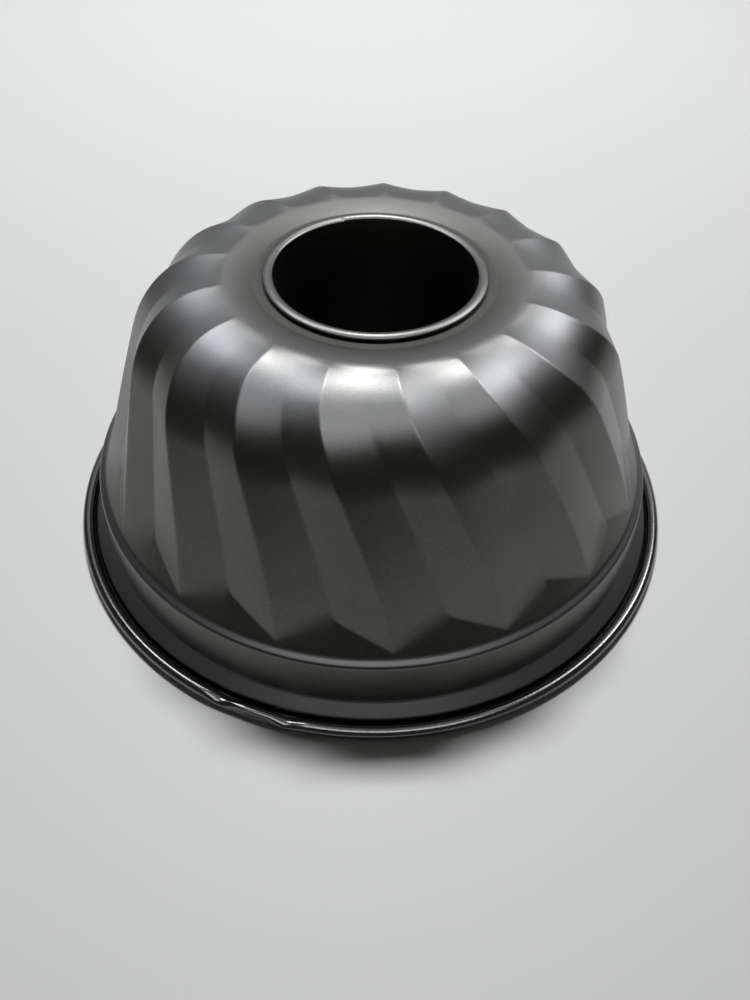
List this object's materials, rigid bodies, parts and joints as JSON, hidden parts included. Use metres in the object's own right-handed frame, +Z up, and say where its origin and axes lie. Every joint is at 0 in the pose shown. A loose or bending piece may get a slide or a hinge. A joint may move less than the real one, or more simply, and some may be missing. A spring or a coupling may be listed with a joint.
{
  "type": "fluted tube pan",
  "caption": "Round fluted cake mould with twisted ridges, a stepped collar, a rolled wired rim and an open centre tube folded into its crown, standing upside down on its rim.",
  "frame": {"origin": "on the table, at the centre of the rim's resting face, under the middle of the centre tube", "axes": "+Z up along the tube's axis with the pan upside down on its rim; -Y towards the pictured side; +X to the right in the picture"},
  "size_m": [0.2238, 0.2238, 0.0966],
  "materials": {
    "shell_coating": "satin dark gunmetal non-stick coating on pressed steel sheet, with a fine metallic speckle",
    "tube_coating": "the same satin dark coating on the rolled tube and its folded ring",
    "wire_steel": "plain drawn steel wire, closed in the rolled rim"
  },
  "bodies": {
    "root": {"fluted_shell": "shell_coating", "centre_tube": "tube_coating", "rim_wire": "wire_steel"}
  },
  "joints": []
}
